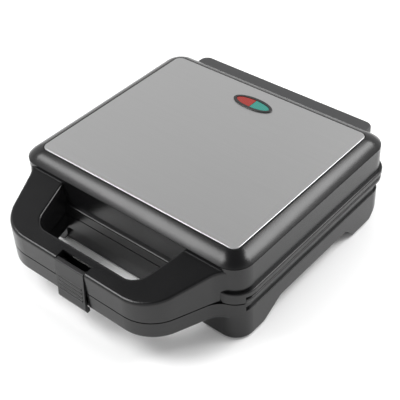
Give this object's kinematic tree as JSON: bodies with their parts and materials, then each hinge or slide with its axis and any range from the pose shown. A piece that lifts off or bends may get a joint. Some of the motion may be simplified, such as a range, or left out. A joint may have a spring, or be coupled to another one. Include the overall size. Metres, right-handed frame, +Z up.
{
  "type": "panini press",
  "caption": "Closed contact grill with a hinged lid, a sloped loop handle, a front latch, ribbed cooking plates and two indicator lenses in a steel-trimmed lid.",
  "frame": {"origin": "on the table, under the middle of the closed press's box", "axes": "+Z up, +X to the user's right, -Y towards the user (the handle side)"},
  "size_m": [0.2772, 0.3212, 0.0983],
  "materials": {
    "black_plastic": "satin black moulded plastic",
    "grey_plastic": "fine-textured dark grey plastic",
    "bezel_plastic": "gloss black",
    "trim_steel": "fine brushed stainless sheet",
    "red_lens": "translucent red",
    "green_lens": "translucent green",
    "lamp_glass": "clear glass",
    "nonstick": "dark non-stick coating on cast aluminium",
    "heater_steel": "dull tubular heater sheath",
    "zinc_steel": "zinc-plated steel",
    "reflector": "bright aluminised sheet",
    "dark_insulator": "phenolic insulator",
    "fuse_sleeve": "woven glass sleeve",
    "ceramic": "unglazed white ceramic",
    "foot_rubber": "matt black rubber",
    "inlet_rubber": "black rubber"
  },
  "bodies": {
    "base": {"base_shell": "black_plastic", "foot_front_left": "foot_rubber", "foot_front_right": "foot_rubber", "foot_rear_left": "foot_rubber", "foot_rear_right": "foot_rubber", "cord_inlet_bush": "inlet_rubber", "lower_grill_plate": "nonstick", "lower_heating_element": "heater_steel", "lower_heater_clamps": "zinc_steel", "lower_heat_reflector": "reflector", "lower_thermostat": "dark_insulator", "thermal_fuse": "fuse_sleeve", "terminal_block": "ceramic", "lower_plate_screws": "zinc_steel", "base_hinge_bracket_left": "zinc_steel", "base_hinge_bracket_right": "zinc_steel", "hinge_pin_left": "zinc_steel", "hinge_pin_right": "zinc_steel", "base_hinge_screws": "zinc_steel"},
    "lid": {"lid_housing": "black_plastic", "lid_top_cover": "black_plastic", "lid_top_plate": "trim_steel", "indicator_bezel": "bezel_plastic", "red_lens": "red_lens", "green_lens": "green_lens", "red_lamp": "lamp_glass", "green_lamp": "lamp_glass", "lamp_holder": "dark_insulator", "upper_grill_plate": "nonstick", "upper_heating_element": "heater_steel", "upper_heater_clamps": "zinc_steel", "upper_heat_reflector": "reflector", "upper_thermostat": "dark_insulator", "upper_plate_screws": "zinc_steel", "lid_hinge_bracket_left": "zinc_steel", "lid_hinge_bracket_right": "zinc_steel", "lid_hinge_screws": "zinc_steel", "hinge_cover": "grey_plastic", "latch_pin": "zinc_steel"},
    "latch": {"latch_clip": "black_plastic"}
  },
  "joints": [
    {"name": "lid_hinge", "type": "hinge", "parent": "base", "child": "lid", "pos_m": [0, 0.153, 0.0455], "axis": [-1, 0, 0], "range_deg": [0, 100]},
    {"name": "latch_pivot", "type": "hinge", "parent": "lid", "child": "latch", "pos_m": [0, -0.1503, 0.06435], "axis": [-1, 0, 0], "range_deg": [0, 35]}
  ]
}
